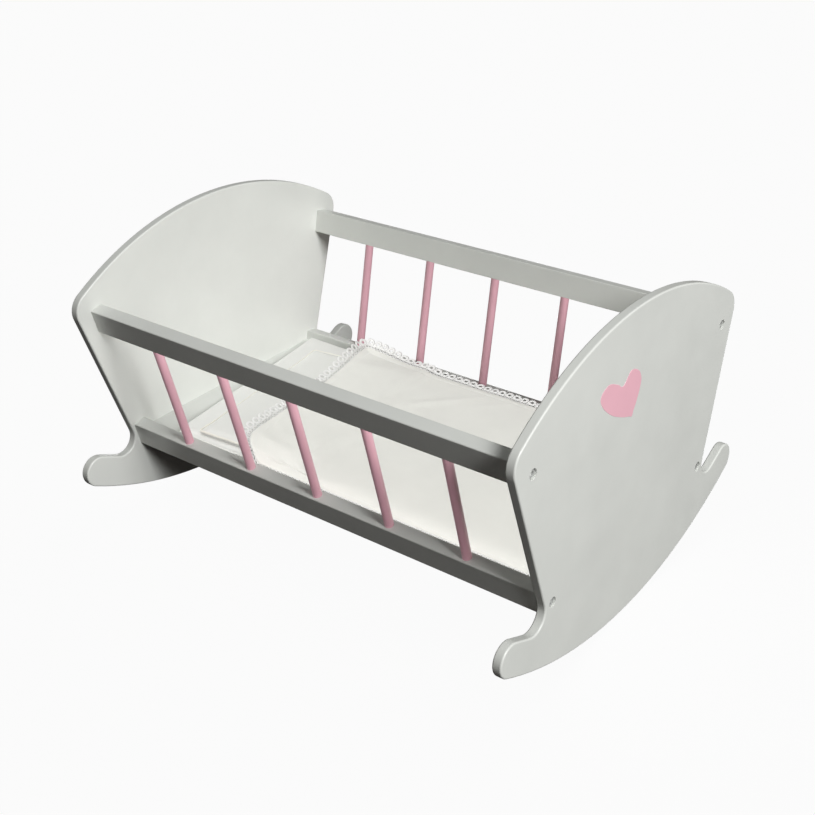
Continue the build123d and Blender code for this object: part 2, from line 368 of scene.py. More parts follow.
# Corners of the heart: across the panel, then height above the floor, anticlockwise from the tip.
HEART = (
    (-0.0082, 0.2003), (-0.0052, 0.2052), (0.0003, 0.2140), (0.0055, 0.2280), (0.0010, 0.2390),
    (-0.0120, 0.2445), (-0.0245, 0.2355), (-0.0340, 0.2410), (-0.0480, 0.2465),
    (-0.0600, 0.2410), (-0.0575, 0.2310), (-0.0430, 0.2170), (-0.0250, 0.2068), (-0.0135, 0.2022),
)
HEART_STEPS = 12            # points on each stretch between two corners
HEART_SUNK = 0.00005        # the film starts this far inside the panel
HEART_FILM = 0.00022
HEART_RIM = 0.008
panel_face_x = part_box("foot_panel")[1][0]
points, faces = solid_from_outline(
    spline_loop(HEART, HEART_STEPS), panel_face_x - HEART_SUNK, HEART_FILM, HEART_RIM
)
heart = new_piece("painted_heart", points, faces, heart_finish, "cradle_frame")
heart.data.shade_flat()


# ---------------------------------------------------------------- bedding: shared helpers
SKEW = math.tan(math.radians(7.6))      # the bedding has turned this much out of line
SEAM_STEPS = (0.0, 0.0005, 0.0014, 0.0028, 0.0048, 0.0078)      # grid lines in from a seam
SIM_FRAMES = 20
TOP_MARGIN = 0.0008         # a pad's crown stays this much under its CAD solid's top, for its waves
TOP_GIVE = 0.0006           # and what swells past that is pressed back softly over this height
PIPING_PITCH = 0.0016
PIPING_PROUD = 0.0002
PIPING_FRONT_Y = -0.085     # the seams' cords are fuller in front of this,
PIPING_FADE = 0.008         # and grow to that over this distance


def edge_spaced(half, pitch, steps):
    """Places from -half to half: the given steps in from each edge, then even ones."""
    inner = half - steps[-1]
    count = round(2 * inner / pitch)
    middle = [inner * (2 * i / count - 1) for i in range(count + 1)]
    near_edge = [step - half for step in steps[:-1]]
    far_edge = [half - step for step in reversed(steps[:-1])]
    return near_edge + middle + far_edge


def rounded(a, b, half_a, half_b, corner):
    """A point of a rectangular grid, moved so that the rectangle gets round corners."""
    over_a = abs(a) - half_a + corner
    over_b = abs(b) - half_b + corner
    if over_a <= 0.0 or over_b <= 0.0:
        return a, b
    pull = max(over_a, over_b) / math.hypot(over_a, over_b)
    return (
        math.copysign(half_a - corner + over_a * pull, a),
        math.copysign(half_b - corner + over_b * pull, b),
    )


def bulge(distance, reach):
    """Quarter circle from 0 at the seam to 1 at reach and beyond."""
    t = min(distance / reach, 1.0)
    return math.sqrt(max(0.0, 1.0 - (1.0 - t) ** 2))


def ease(t):
    """Smooth step from 0 to 1."""
    t = min(max(t, 0.0), 1.0)
    return t * t * (3.0 - 2.0 * t)


def border_loop(columns, rows):
    """Grid places round the edge, anticlockwise from the first corner."""
    loop = [(i, 0) for i in range(columns - 1)]
    loop += [(columns - 1, j) for j in range(rows - 1)]
    loop += [(i, rows - 1) for i in range(columns - 1, 0, -1)]
    loop += [(0, j) for j in range(rows - 1, 0, -1)]
    return loop


class Cover:
    """Two sheets on one grid, joined at a seam round the edge, as a sewn cover is."""

    def __init__(self, half_a, half_b, corner, pitch, steps=SEAM_STEPS):
        self.half_a, self.half_b, self.corner, self.steps = half_a, half_b, corner, steps
        self.a = edge_spaced(half_a, pitch, steps)
        self.b = edge_spaced(half_b, pitch, steps)
        self.columns, self.rows = len(self.a), len(self.b)
        self.index = {}
        self.seam = []

    def depth(self, i, j):
        """How far a grid place is in from the seam."""
        return min(self.half_a - abs(self.a[i]), self.half_b - abs(self.b[j]))

    def flat(self, i, j):
        """The grid place on the flat cloth, corners rounded."""
        return rounded(self.a[i], self.b[j], self.half_a, self.half_b, self.corner)

    def build(self, place):
        """Points and faces from place(i, j, side): side is 1 above, -1 below, 0 on the seam."""
        points, faces = [], []
        edge = border_loop(self.columns, self.rows)
        for i, j in edge:
            self.index[i, j, 1] = self.index[i, j, -1] = len(points)
            points.append(place(i, j, 0))
        self.seam = list(range(len(edge)))
        for side in (1, -1):
            for i in range(1, self.columns - 1):
                for j in range(1, self.rows - 1):
                    self.index[i, j, side] = len(points)
                    points.append(place(i, j, side))
        for side in (1, -1):
            for i in range(self.columns - 1):
                for j in range(self.rows - 1):
                    corners = [(i, j), (i + 1, j), (i + 1, j + 1), (i, j + 1)]
                    if side < 0:
                        corners.reverse()
                    faces.append(tuple(self.index[p, q, side] for p, q in corners))
        return points, faces


def simulate(piece, cap, prepare):
    """Runs a cloth simulation on the piece, caps how far each point moves, and keeps the result."""
    cloth = piece.modifiers.new("cloth", "CLOTH")
    cloth.settings.quality = 6
    cloth.settings.bending_stiffness = 0.6
    prepare(cloth)
    start = [point.co.copy() for point in piece.data.vertices]
    for step in range(1, SIM_FRAMES + 1):
        bpy.context.scene.frame_set(step)
    evaluated = piece.evaluated_get(bpy.context.evaluated_depsgraph_get())
    moved = [point.co.copy() for point in evaluated.data.vertices]
    piece.modifiers.remove(cloth)
    bpy.context.scene.frame_set(1)
    for point, old, new in zip(piece.data.vertices, start, moved):
        shift = new - old
        if shift.length > cap:
            shift *= cap / shift.length
        point.co = old + shift
    piece.data.update()


def puff(pressure):
    """Cloth settings that swell a closed cover."""
    def prepare(cloth):
        settings = cloth.settings
        settings.use_pressure = True
        settings.uniform_pressure_force = pressure
        settings.effector_weights.gravity = 0.0
        settings.tension_stiffness = 15.0
        settings.compression_stiffness = 15.0
    return prepare


def wavy(point, scale, size, seed):
    """Smooth random value about 0, up to about size, that changes over about scale metres."""
    return size * noise.noise(Vector(point) / scale + Vector((seed, 0.37 * seed, 0.0)))


def keep_between(piece, low, high, give):
    """Presses points that pass the heights low or high back towards them, softly."""
    for point in piece.data.vertices:
        if point.co.z < low:
            point.co.z = low
        elif point.co.z > high:
            point.co.z = high + give * math.tanh((point.co.z - high) / give)
    piece.data.update()


def subdivided(piece):
    """One level of subdivision, which rounds the piece."""
    smooth = piece.modifiers.new("smooth", "SUBSURF")
    smooth.levels = smooth.render_levels = 1


def runs(loop):
    """For each point of a closed loop, the way from the point before it to the one after it."""
    return [loop[(i + 1) % len(loop)] - loop[i - 1] for i in range(len(loop))]


def lengths_along(loop):
    """The distance along a closed loop to each of its points, and last its whole length."""
    lengths = [0.0]
    for i in range(len(loop)):
        lengths.append(lengths[-1] + (loop[(i + 1) % len(loop)] - loop[i]).length)
    return lengths


def tube_along(loop, radii, around, out):
    """Points and faces of a closed tube round a closed loop; out has each point's outward way."""
    points, faces = [], []
    count = len(loop)
    for at, run, radius, outward in zip(loop, runs(loop), radii, out):
        run.normalize()
        side = (outward - run * outward.dot(run)).normalized()
        lift = side.cross(run)
        for k in range(around):
            angle = 2 * math.pi * k / around
            points.append(at + (side * math.cos(angle) + lift * math.sin(angle)) * radius)
    for i in range(count):
        j = (i + 1) % count
        for k in range(around):
            m = (k + 1) % around
            faces.append((i * around + k, i * around + m, j * around + m, j * around + k))
    return points, faces


def evened(loop, pitch, *others):
    """The closed loop with its points about pitch apart, and any other values along it likewise."""
    lengths = lengths_along(loop)
    count = round(lengths[-1] / pitch)
    results = [[] for values in (loop, *others)]
    at = 0
    for step in range(count):
        target = lengths[-1] * step / count
        while lengths[at + 1] < target:
            at += 1
        share = (target - lengths[at]) / max(1e-9, lengths[at + 1] - lengths[at])
        for values, result in zip((loop, *others), results):
            result.append(values[at].lerp(values[(at + 1) % len(loop)], share))
    return results if others else results[0]


def softened(ways, reach):
    """Each vector of a closed loop, averaged with its neighbours up to reach places away."""
    count = len(ways)
    return [
        sum((ways[(i + k) % count] for k in range(-reach, reach + 1)), Vector()) / (2 * reach + 1)
        for i in range(count)
    ]


def outward_ways(loop):
    """For each point of an anticlockwise loop, the level direction out of it."""
    return [Vector((run.y, -run.x, 0.0)).normalized() for run in runs(loop)]


def seam_line(piece, cover):
    """The points of a built cover's seam."""
    return [piece.data.vertices[k].co.copy() for k in cover.seam]


def piping(name, pad, cover, radius, fuller, body, cloth):
    """A round cord in the pad's seam, with more radius along the front edge where it is fuller."""
    loop = evened(seam_line(pad, cover), PIPING_PITCH)
    out = outward_ways(loop)
    line = [at + way * PIPING_PROUD for at, way in zip(loop, out)]
    radii = [radius + fuller * ease((PIPING_FRONT_Y - at.y) / PIPING_FADE) for at in loop]
    points, faces = tube_along(line, radii, 10, out)
    return new_piece(name, points, faces, cloth, body)


# ---------------------------------------------------------------- mattress
low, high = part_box("mattress")
MATTRESS_HALF_Y = (high[1] - low[1]) / 2
MATTRESS_HALF_X = (high[0] - low[0]) / 2 - SKEW * MATTRESS_HALF_Y
mattress_middle = (high[0] + low[0]) / 2
mattress_low, mattress_high = low[2], high[2]
MATTRESS_SEAM_Z = mattress_low + 0.0040
MATTRESS_ROOM = 0.0012      # the cover is cut this much inside the CAD solid, for it to swell
MATTRESS_CROWN = mattress_high - MATTRESS_SEAM_Z - TOP_MARGIN
MATTRESS_SWELL = 0.0022     # the most that the simulation may move a point
FREE_EDGE_X = -0.113        # nearer the head, nothing is tucked in beside the mattress
FRONT_SPREAD = 0.0022       # and its front edge spreads towards the rail
mattress_cover = Cover(
    MATTRESS_HALF_X - MATTRESS_ROOM, MATTRESS_HALF_Y - MATTRESS_ROOM, corner=0.005, pitch=0.0062
)


def mattress_point(i, j, side):
    """A crowned top, an almost flat underside, and small puckers along the seam."""
    a, b = mattress_cover.flat(i, j)
    depth = mattress_cover.depth(i, j)
    x = mattress_middle + a - SKEW * b
    b -= FRONT_SPREAD * ease((FREE_EDGE_X - x) / 0.020) * ease(-b / MATTRESS_HALF_Y)
    pucker = math.exp(-depth / 0.007) * wavy((x, b, side), 0.0045, 0.0005, 3.0)
    if side >= 0:
        z = MATTRESS_SEAM_Z + MATTRESS_CROWN * bulge(depth, 0.0045)
        z += ease(depth / 0.02) * wavy((x, b, 0.0), 0.06, 0.0007, 5.0)
    else:
        z = MATTRESS_SEAM_Z - (MATTRESS_SEAM_Z - mattress_low) * bulge(depth, 0.002)
    return (x, b, z + (pucker if side else 0.0))


points, faces = mattress_cover.build(mattress_point)
mattress_pad = loose_piece("mattress_pad", points, faces, mattress_cloth)
simulate(mattress_pad, MATTRESS_SWELL, puff(3.0))
keep_between(mattress_pad, mattress_low, mattress_high - TOP_GIVE, TOP_GIVE)
mattress_seam = piping(
    "mattress_seam", mattress_pad, mattress_cover, radius=0.0007, fuller=0.0,
    body="mattress_body", cloth=mattress_cloth,
)
subdivided(mattress_pad)
carried(mattress_pad, "mattress_body")
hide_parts("mattress")


# ---------------------------------------------------------------- pillow
low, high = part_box("pillow")
PILLOW_LENGTH, PILLOW_WIDTH = 0.135, 0.204
PILLOW_SHIFT = (0.001, -0.0025)     # it has slid this much towards the front of the mattress
PILLOW_WALL = 0.0036                # the seam runs along the top edge of a low side wall
PILLOW_FLARE = 0.0013               # how far the foot of that wall spreads
PILLOW_TAPER = 0.55                 # share of the height lost towards the end under the duvet
PILLOW_LEVEL = 0.010                # it starts to fall this far on the head's side of its middle
PILLOW_ROOM = 0.0006                # the cover is cut this much smaller, for it to swell
PILLOW_SWELL = 0.0020               # the most that the simulation may move a point
FRONT_EDGE_TURN = 0.06              # the front edge is less turned than the rest
pillow_x = (high[0] + low[0]) / 2 + PILLOW_SHIFT[0]
pillow_y = (high[1] + low[1]) / 2 + PILLOW_SHIFT[1]
pillow_low, pillow_high = low[2], high[2]
pillow_crown = pillow_high - pillow_low - TOP_MARGIN - PILLOW_WALL
pillow_cover = Cover(
    PILLOW_LENGTH / 2 - PILLOW_ROOM, PILLOW_WIDTH / 2 - PILLOW_ROOM, corner=0.003, pitch=0.0048
)
turn = math.atan(SKEW)


def pillow_left(a):
    """Share of the pillow's height left at a place along it."""
    return 1.0 - PILLOW_TAPER * ease((a + PILLOW_LEVEL) / (PILLOW_LENGTH / 2 + PILLOW_LEVEL))


def pillow_top(a, b):
    """Height of the pillow's upper side above its underside, without its seam's roundness."""
    full = (1 - (a / (PILLOW_LENGTH / 2)) ** 4) * (1 - (b / (PILLOW_WIDTH / 2)) ** 6)
    return pillow_left(a) * (PILLOW_WALL + pillow_crown * max(0.0, full) ** 0.8)


def pillow_point(i, j, side):
    """A low side wall that flares at its foot, a crowned top, and puckers along the seam."""
    a, b = pillow_cover.flat(i, j)
    depth = pillow_cover.depth(i, j)
    if side < 0:
        flare = PILLOW_FLARE * math.exp(-depth / 0.002)
        a *= 1.0 + flare / pillow_cover.half_a
        b *= 1.0 + flare / pillow_cover.half_b
    b -= FRONT_EDGE_TURN * (a + PILLOW_LENGTH / 2) * ease(-b / (PILLOW_WIDTH / 2))
    x = pillow_x + a * math.cos(turn) - b * math.sin(turn)
    y = pillow_y + a * math.sin(turn) + b * math.cos(turn)
    wall = PILLOW_WALL * pillow_left(a)
    if side == 0:
        return (x, y, pillow_low + wall + wavy((x, y, 0.0), 0.030, 0.0007, 8.0))
    pucker = math.exp(-depth / 0.010) * wavy((a, b, side), 0.0055, 0.0006, 8.0)
    if side > 0:
        crown = pillow_top(*pillow_cover.flat(i, j)) - wall
        z = pillow_low + wall + crown * (0.3 + 0.7 * bulge(depth, 0.004))
        z += ease(depth / 0.02) * wavy((x, y, 0.0), 0.035, 0.0005, 2.0)
    else:
        z = pillow_low + wall * (1.0 - bulge(depth, 0.0012))
    return (x, y, z + pucker)


points, faces = pillow_cover.build(pillow_point)
pillow_pad = loose_piece("pillow_pad", points, faces, pillow_cloth)
simulate(pillow_pad, PILLOW_SWELL, puff(4.0))
keep_between(pillow_pad, pillow_low, pillow_high - TOP_GIVE, TOP_GIVE)
pillow_seam = piping(
    "pillow_piping", pillow_pad, pillow_cover, radius=0.0006, fuller=0.0005,
    body="pillow_body", cloth=piping_cloth,
)
subdivided(pillow_pad)
carried(pillow_pad, "pillow_body")
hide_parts("pillow")


# ---------------------------------------------------------------- duvet
low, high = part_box("duvet")
DUVET_HALF_Y = (high[1] - low[1]) / 2
duvet_foot = high[0]
duvet_head = low[0] + SKEW * DUVET_HALF_Y
HALF_CAD_THICKNESS = 0.002
on_mattress = low[2] + HALF_CAD_THICKNESS
TUCK_START = -0.0960        # from here to its front hem the cloth bends down
TUCK_Y = -0.1192            # the front hem lies in the gap between the mattress and the bottom rail
TUCK_Z = 0.0943
TUCKED_LENGTH = 0.0075      # cloth that the bend uses, past the flat width
HEAD_TURN = 0.1500          # slope of the head edge, across the bed
PILLOW_CLEARANCE = 0.0022   # middle surface of the duvet above the pillow
END_FALL, SIDE_FALL = 0.30, 0.10    # how steeply it falls past the pillow's end and sides
LANDING = 0.0016            # how softly that fall runs out on the mattress
HEAD_IN = 0.0024            # the head edge lies this far on the foot's side of the CAD solid's end
HEAD_BOW = 0.0062           # how far the middle of the head edge has pulled towards the foot
TUCK_PULL = 0.024           # how far the tuck has pulled its front corner that way,
TUCK_PULL_START, TUCK_PULL_WIDTH = TUCK_START + 0.002, 0.026    # from here, over this width
HEM_DROOP = 0.0014          # the thin hem lies lower than the padded middle
CORNER_LIFT = 0.0030        # the back head corner leans up
FRONT_LIFT = 0.0015         # fullness where the cloth bends over the front of the pillow
HEM_DEPTH = 0.0082
HEM_HALF = 0.0007           # half the hem's thickness
GROOVE = 0.0002             # depth of the groove along its stitching
PADDING = 0.0010            # half the thickness that the fill adds to the hem's
SIM_REACH = 0.0025          # the most that the simulation may move a point
HEM_STEPS = (0.0, 0.0004, 0.0012, 0.0030, 0.0052, 0.0070, HEM_DEPTH, 0.0094, 0.0122)
DUVET_CUT = (2 * DUVET_HALF_Y + TUCKED_LENGTH, duvet_foot - duvet_head)
duvet_cover = Cover(
    DUVET_CUT[1] / 2, DUVET_CUT[0] / 2, corner=0.005, pitch=0.0055, steps=HEM_STEPS
)


def grid_place(i, j):
    """Number of one of the duvet's grid places in a list that runs along one row after another."""
    return i * duvet_cover.rows + j


def hump(value, middle, reach):
    """1 at the middle, falling smoothly to 0 at reach to either side."""
    return ease(1.0 - abs(value - middle) / reach)


def tucked(across, z):
    """Where a place on the cloth goes when its front strip bends down into the gap."""
    done = (TUCK_START - across) / (TUCK_START + DUVET_HALF_Y + TUCKED_LENGTH)
    if done <= 0.0:
        return across, z
    y = TUCK_START + (TUCK_Y - TUCK_START) * (1.0 - (1.0 - min(done, 1.0)) ** 1.7)
    return y, z + (TUCK_Z - z) * done ** 3


def resting(x, y):
    """Height of the duvet's middle surface where it just lies on the pillow and the mattress."""
    a = (x - pillow_x) * math.cos(turn) + (y - pillow_y) * math.sin(turn)
    b = (y - pillow_y) * math.cos(turn) - (x - pillow_x) * math.sin(turn)
    past_end = max(0.0, a - PILLOW_LENGTH / 2)
    past_side = max(0.0, abs(b) - PILLOW_WIDTH / 2)
    height = pillow_left(min(a, PILLOW_LENGTH / 2)) * (pillow_high - pillow_low)
    over_pillow = pillow_low + height + PILLOW_CLEARANCE
    over_pillow -= END_FALL * past_end + SIDE_FALL * past_side
    gap = over_pillow - on_mattress
    return on_mattress + 0.5 * (gap + math.hypot(gap, LANDING))


def duvet_middle(i, j):
    """The duvet's middle surface.

    It lies on the pillow and the mattress, its back head corner leans up, and its front side bends
    down into the gap beside the mattress.
    """
    a, b = duvet_cover.flat(i, j)
    share = (a + DUVET_CUT[1] / 2) / DUVET_CUT[1]             # 0 at the head edge, 1 at the foot
    across = b + DUVET_CUT[0] / 2 - TUCKED_LENGTH - DUVET_HALF_Y
    head_x = duvet_head + HEAD_IN - HEAD_TURN * across + HEAD_BOW * hump(across, 0.035, 0.130)
    head_x += TUCK_PULL * ease((TUCK_PULL_START - across) / TUCK_PULL_WIDTH)
    x = head_x + (duvet_foot - head_x) * share
    z = resting(x, across)
    z -= HEM_DROOP * ease(1.0 - (z - on_mattress) / 0.004) * ease((across - 0.085) / 0.022)
    z += CORNER_LIFT * ease((across + 0.010) / 0.120) * ease(1.0 - (x + 0.150) / 0.060)
    z += FRONT_LIFT * hump(across, -0.090, 0.050) * ease(1.0 - (x + 0.120) / 0.110)
    z += wavy((x, across, 0.0), 0.075, 0.0010, 4.0) + wavy((x, across, 0.0), 0.028, 0.0005, 6.0)
    return Vector((x, *tucked(across, z)))


points = [duvet_middle(i, j) for i in range(duvet_cover.columns) for j in range(duvet_cover.rows)]
faces = [
    tuple(grid_place(*corner) for corner in ((i, j), (i + 1, j), (i + 1, j + 1), (i, j + 1)))
    for i in range(duvet_cover.columns - 1)
    for j in range(duvet_cover.rows - 1)
]
settled = loose_piece("settled_sheet", points, faces, duvet_cloth)
duvet_border = border_loop(duvet_cover.columns, duvet_cover.rows)


def lie_down(cloth):
    """Cloth settings for a slightly slack sheet that is held at its hem and lies on the pads."""
    hem = cloth.id_data.vertex_groups.new(name="hem")
    hem.add([grid_place(i, j) for i, j in duvet_border], 1.0, "REPLACE")
    settings = cloth.settings
    settings.vertex_group_mass = "hem"
    settings.shrink_min = -0.004
    settings.mass = 0.2
    settings.bending_stiffness = 4.0
    settings.tension_stiffness = 25.0
    settings.compression_stiffness = 25.0
    cloth.collision_settings.distance_min = 0.0022


pads = (mattress_pad, pillow_pad)
for pad in pads:
    pad.modifiers.new("floor", "COLLISION")
    pad.collision.thickness_outer = 0.001
simulate(settled, SIM_REACH, lie_down)
for pad in pads:
    pad.modifiers.remove(pad.modifiers["floor"])
sheet_at = [point.co.copy() for point in settled.data.vertices]
sheet_up = [point.normal.copy() for point in settled.data.vertices]
bpy.data.objects.remove(settled)


def duvet_half_thickness(depth):
    """Thin at the hem, a shallow groove along its stitching, then lightly padded."""
    hem = HEM_HALF * bulge(depth, 0.0012)
    groove = GROOVE * math.exp(-((depth - HEM_DEPTH) / 0.0011) ** 2)
    return hem - groove + PADDING * ease((depth - HEM_DEPTH) / 0.030)


def duvet_point(i, j, side):
    """A place on the settled sheet, moved out by half the thickness, with gathers at the hem."""
    place = grid_place(i, j)
    depth = duvet_cover.depth(i, j)
    a, b = duvet_cover.a[i], duvet_cover.b[j]
    gather = math.exp(-abs(depth - HEM_DEPTH) / 0.004) * wavy((a, b, 0.0), 0.0042, 0.0003, 9.0)
    lift = duvet_half_thickness(depth) * side + (gather if side else 0.0)
    return sheet_at[place] + sheet_up[place] * lift


points, faces = duvet_cover.build(duvet_point)
duvet_piece = loose_piece("duvet_cover", points, faces, duvet_cloth)
subdivided(duvet_piece)
carried(duvet_piece, "duvet_body")
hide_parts("duvet")


# ---------------------------------------------------------------- hem stitches
STITCH_PITCH = 0.0026
STITCH_SHARE = 0.68         # share of the pitch that the thread shows
STITCH_RADIUS = 0.00022
STITCH_SIDES = 6
# share of the way along a stitch, and share of its full thickness there
STITCH_STATIONS = ((0.0, 0.25), (0.12, 0.8), (0.5, 1.0), (0.88, 0.8), (1.0, 0.25))


def stitch(points, faces, start, end, up):
    """One short thread stitch from start to end, a little above the cloth."""
    run = (end - start).normalized()
    side = run.cross(up).normalized()
    first = len(points)
    for along, thick in STITCH_STATIONS:
        for k in range(STITCH_SIDES):
            angle = 2 * math.pi * k / STITCH_SIDES
            offset = (side * math.cos(angle) + up * math.sin(angle)) * STITCH_RADIUS * thick
            rise = up * STITCH_RADIUS * (thick - 0.6)
            points.append(start.lerp(end, along) + offset + rise)
    last = len(points) - STITCH_SIDES
    for here in range(first, last, STITCH_SIDES):
        ahead = here + STITCH_SIDES
        for k in range(STITCH_SIDES):
            m = (k + 1) % STITCH_SIDES
            faces.append((here + k, here + m, ahead + m, ahead + k))
    faces.append(tuple(reversed(range(first, first + STITCH_SIDES))))
    faces.append(tuple(range(last, last + STITCH_SIDES)))


hem_step = duvet_cover.steps.index(HEM_DEPTH)
hem_columns, hem_rows = duvet_cover.columns - 2 * hem_step, duvet_cover.rows - 2 * hem_step
hem_line = [
    duvet_point(i + hem_step, j + hem_step, 1) for i, j in border_loop(hem_columns, hem_rows)
]
stitch_line = evened(hem_line, STITCH_PITCH)
points, faces = [], []
for start, end in zip(stitch_line, stitch_line[1:] + stitch_line[:1]):
    end = start.lerp(end, STITCH_SHARE)
    stitch(points, faces, start, end, Vector((0.0, 0.0, 1.0)))
hem_stitches = new_piece("hem_stitches", points, faces, lace_thread, "duvet_body")


# ---------------------------------------------------------------- crochet edging
LACE_PITCH = 0.0092
RING_OUT = 0.0073           # middle of the big rings, out from the hem
BIG_RING = dict(
    out_by=RING_OUT, radius=0.0031, half_width=0.00145, half_height=0.0006, around=20, section=6
)
BETWEEN_RING = dict(
    out_by=0.0050, radius=0.00125, half_width=0.0005, half_height=0.0005, around=12, section=5
)
HEM_RING = dict(
    out_by=0.0020, radius=0.00160, half_width=0.0005, half_height=0.0005, around=12, section=5
)
CORDS_OUT = (-0.0002, 0.0038)
CORD_RADIUS = 0.0004
HEM_PITCH = 0.0012          # spacing of the points that the edging follows
SOFTENING = 3               # its directions are averaged with this many neighbours each way
BACK_TILT = 15.0            # degrees that the edging stands up off the cloth at the back
HEAD_TILT = 28.0
TUCKED_SHARE = 0.72         # the hidden front run is folded narrower, to stay above the board
TUCK_FADE = 0.016           # and gets to that width over this distance


def hem_ways():
    """The direction in which the cloth ends, at each place of its seam."""
    last_i, last_j = duvet_cover.columns - 1 - hem_step, duvet_cover.rows - 1 - hem_step
    ways = []
    for i, j in duvet_border:
        inner = grid_place(min(max(i, hem_step), last_i), min(max(j, hem_step), last_j))
        ways.append((sheet_at[grid_place(i, j)] - sheet_at[inner]).normalized())
    return ways


def lace_way(at, run, ends):
    """The direction in which the edging leaves the hem, as long as the share of its width."""
    side = (ends - run * ends.dot(run)).normalized()
    up = run.cross(side) * -1.0
    tuck = ease((TUCK_START - at.y) / TUCK_FADE)
    front = tuck * max(0.0, -side.z)
    tilt = BACK_TILT * max(0.0, side.y) + HEAD_TILT * max(0.0, -side.x)
    tilt = math.radians(tilt + wavy(at, 0.03, 9.0, 1.0)) * (1.0 - front)
    narrow = 1.0 + (TUCKED_SHARE - 1.0) * tuck
    return (side * math.cos(tilt) + up * math.sin(tilt)) * narrow


hem_loop, hem_ends = evened(seam_line(duvet_piece, duvet_cover), HEM_PITCH, hem_ways())
hem_run = softened(runs(hem_loop), SOFTENING)
hem_ends = softened(hem_ends, SOFTENING)
lace_out = softened(
    [lace_way(at, run.normalized(), ends) for at, run, ends in zip(hem_loop, hem_run, hem_ends)],
    SOFTENING,
)
ring_line = [at + way * RING_OUT for at, way in zip(hem_loop, lace_out)]
ring_distance = lengths_along(ring_line)
lace_length = ring_distance[-1]


def lace_frame(distance):
    """Hem point, run, outward and upward directions, at a distance along the line of big rings."""
    distance %= lace_length
    i = bisect.bisect_right(ring_distance, distance) - 1
    j = (i + 1) % len(hem_loop)
    share = (distance - ring_distance[i]) / (ring_distance[i + 1] - ring_distance[i])
    at = hem_loop[i].lerp(hem_loop[j], share)
    out = lace_out[i].lerp(lace_out[j], share)
    run = (ring_line[j] - ring_line[i]).normalized()
    up = run.cross(out).normalized() * -1.0
    return at, run, out, up


def ring(points, faces, frame_at, out_by, radius, half_width, half_height, around, section):
    """A worked ring of thread, flat on the edging, with a slightly knotted outline."""
    at, run, out, up = frame_at
    centre = at + out * out_by
    base = len(points)
    for i in range(around):
        angle = 2 * math.pi * i / around
        spoke = run * math.cos(angle) + out * math.sin(angle)
        knot = 1.0 + 0.12 * (i % 2)
        for k in range(section):
            turned = 2 * math.pi * k / section
            across = radius + half_width * knot * math.cos(turned)
            points.append(centre + spoke * across + up * half_height * knot * math.sin(turned))
    for i in range(around):
        j = (i + 1) % around
        here, ahead = base + i * section, base + j * section
        for k in range(section):
            m = (k + 1) % section
            faces.append((here + k, ahead + k, ahead + m, here + m))


points, faces = [], []
units = round(lace_length / LACE_PITCH)
pitch = lace_length / units
for unit in range(units):
    here = unit * pitch
    between = here + pitch / 2
    ring(points, faces, lace_frame(here), **BIG_RING)
    ring(points, faces, lace_frame(between), **BETWEEN_RING)
    ring(points, faces, lace_frame(here), **HEM_RING)
    ring(points, faces, lace_frame(between), **HEM_RING)
for out_by in CORDS_OUT:
    line = [at + way * out_by for at, way in zip(hem_loop, lace_out)]
    cord_points, cord_faces = tube_along(line, [CORD_RADIUS] * len(line), 6, lace_out)
    base = len(points)
    points += cord_points
    faces += [tuple(k + base for k in face) for face in cord_faces]
crochet = new_piece("crochet_edging", points, faces, lace_thread, "duvet_body")
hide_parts("lace_edging")


# ---------------------------------------------------------------- camera
def look(azimuth, elevation, roll):
    """Rotation of a camera that looks along that azimuth, down by that elevation, in degrees."""
    turn = Matrix.Rotation(math.radians(azimuth), 3, "Z")
    tip = Matrix.Rotation(math.radians(90.0 - elevation), 3, "X")
    return (turn @ tip @ Matrix.Rotation(math.radians(roll), 3, "Z")).to_euler()


scene = bpy.context.scene
camera_data = bpy.data.cameras.new("camera")
camera_data.sensor_width = 36.0
camera_data.lens = 56.88
camera_data.shift_x = -0.0392
camera_data.shift_y = -0.0653
camera_data.clip_start = 0.01
camera_data.clip_end = 50.0
camera = bpy.data.objects.new("camera", camera_data)
camera.location = (0.69423, -0.84159, 0.72742)
camera.rotation_euler = look(37.69, 26.54, -1.57)
scene.collection.objects.link(camera)
scene.camera = camera


# ---------------------------------------------------------------- light, floor and background
BACKDROP = (0.965, 0.965, 0.965)
DOME_LOW, DOME_HIGH = (0.092, 0.059, 0.053), (0.150, 0.153, 0.150)
BED_CENTRE = Vector((0.0, 0.0, 0.12))
LAMP_DISTANCE = 4.0


def softbox(name, direction, size, power):
    """A square area light that faces the bed from a direction."""
    data = bpy.data.lights.new(name, "AREA")
    data.shape = "SQUARE"
    data.size = size
    data.energy = power
    lamp = bpy.data.objects.new(name, data)
    towards = Vector(direction).normalized()
    lamp.location = BED_CENTRE + towards * LAMP_DISTANCE
    lamp.rotation_euler = towards.to_track_quat("Z", "Y").to_euler()
    scene.collection.objects.link(lamp)
    return lamp


def link_lamp(lamp, lit, blockers=None):
    """The lamp lights only the lit objects; with blockers, only those cast its shadows."""
    for kind, members in (("receiver_collection", lit), ("blocker_collection", blockers)):
        if members is not None:
            group = bpy.data.collections.new(lamp.name + "_" + kind)
            for member in members:
                group.objects.link(member)
            setattr(lamp.light_linking, kind, group)


def nodes_named(*starts):
    """The CAD nodes whose names start with any of these."""
    return [shown for name, shown in NODES.items() if name.startswith(starts)]


